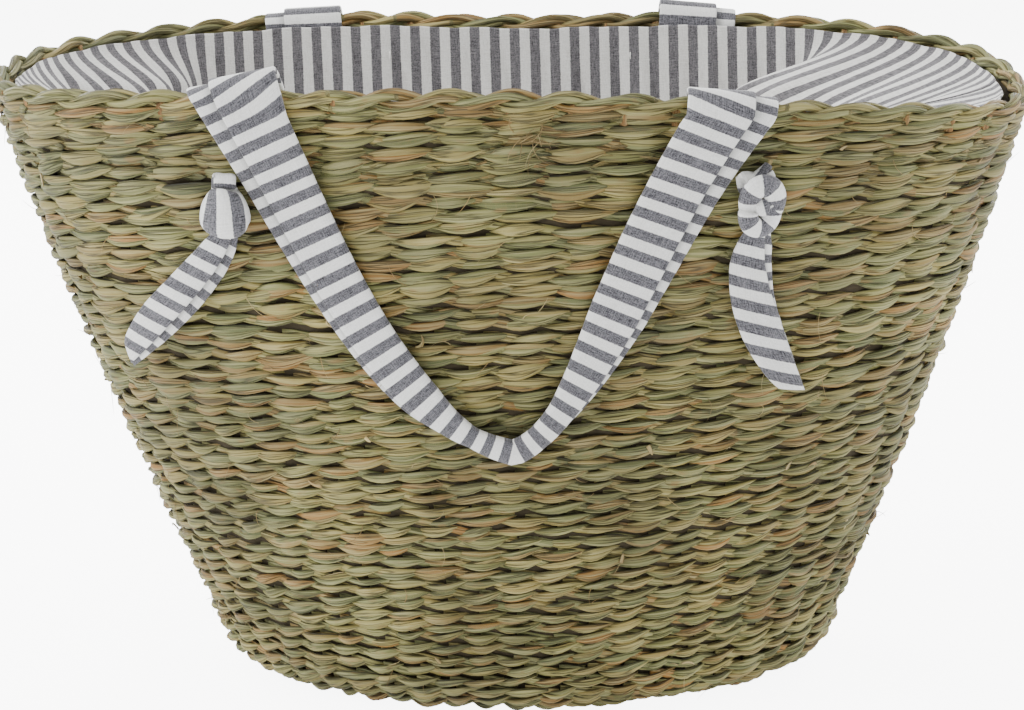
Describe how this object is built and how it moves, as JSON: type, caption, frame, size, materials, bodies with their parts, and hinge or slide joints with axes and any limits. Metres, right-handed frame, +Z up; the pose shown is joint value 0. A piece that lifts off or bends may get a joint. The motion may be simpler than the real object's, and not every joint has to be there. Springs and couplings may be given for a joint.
{
  "type": "woven storage basket",
  "caption": "Oval open basket of twined seagrass with a striped cloth lining and two knotted cloth strap handles that hang over the rim.",
  "frame": {"origin": "middle of the underside, where the basket stands", "axes": "+Z up, the front faces -Y, +X to the right along the long side of the rim"},
  "size_m": [0.5061, 0.261, 0.3215],
  "materials": {
    "seagrass": "matte",
    "seagrass_braid": "matte",
    "stake": "matte",
    "lining_cloth": "matte",
    "strap_cloth": "matte",
    "thread": "matte"
  },
  "bodies": {
    "basket": {"base_mat": "seagrass", "wall_weave": "seagrass", "stake_tops": "stake", "rim_border": "seagrass_braid", "lining_base": "lining_cloth", "lining_wall": "lining_cloth", "lining_hem": "lining_cloth", "lining_tacks": "thread", "strap_inside_front_left": "strap_cloth", "strap_inside_front_right": "strap_cloth", "strap_inside_back_left": "strap_cloth", "strap_inside_back_right": "strap_cloth", "strap_fold_front_left": "strap_cloth", "strap_fold_front_right": "strap_cloth", "strap_fold_back_left": "strap_cloth", "strap_fold_back_right": "strap_cloth", "knot_front_left": "strap_cloth", "knot_front_right": "strap_cloth", "knot_back_left": "strap_cloth", "knot_back_right": "strap_cloth"},
    "handle_front": {"handle_front": "strap_cloth"},
    "handle_back": {"handle_back": "strap_cloth"},
    "tail_front_left": {"tail_front_left": "strap_cloth"},
    "tail_front_right": {"tail_front_right": "strap_cloth"},
    "tail_back_left": {"tail_back_left": "strap_cloth"},
    "tail_back_right": {"tail_back_right": "strap_cloth"}
  },
  "joints": [
    {"name": "handle_front_swing", "type": "hinge", "parent": "basket", "child": "handle_front", "pos_m": [-0.0105, -0.1142, 0.3071], "axis": [-0.9998, 0.0138, 0.0173], "range_deg": [0, 180], "deforming": ["strap_fold_front_left", "strap_fold_front_right"]},
    {"name": "handle_back_swing", "type": "hinge", "parent": "basket", "child": "handle_back", "pos_m": [-0.0045, 0.1149, 0.3106], "axis": [0.9999, 0.0058, 0.0139], "range_deg": [0, 180], "deforming": ["strap_fold_back_left", "strap_fold_back_right"]},
    {"name": "tail_front_left_lift", "type": "hinge", "parent": "basket", "child": "tail_front_left", "pos_m": [-0.132, -0.1094, 0.245], "axis": [-0.7981, 0.1096, 0.5924], "range_deg": [0, 90]},
    {"name": "tail_front_right_lift", "type": "hinge", "parent": "basket", "child": "tail_front_right", "pos_m": [0.112, -0.1147, 0.245], "axis": [-0.9528, -0.1993, 0.2289], "range_deg": [0, 90]},
    {"name": "tail_back_left_lift", "type": "hinge", "parent": "basket", "child": "tail_back_left", "pos_m": [-0.124, 0.1113, 0.245], "axis": [0.803, 0.0944, -0.5884], "range_deg": [0, 90]},
    {"name": "tail_back_right_lift", "type": "hinge", "parent": "basket", "child": "tail_back_right", "pos_m": [0.114, 0.1138, 0.245], "axis": [0.9503, -0.211, -0.2289], "range_deg": [0, 90]}
  ]
}
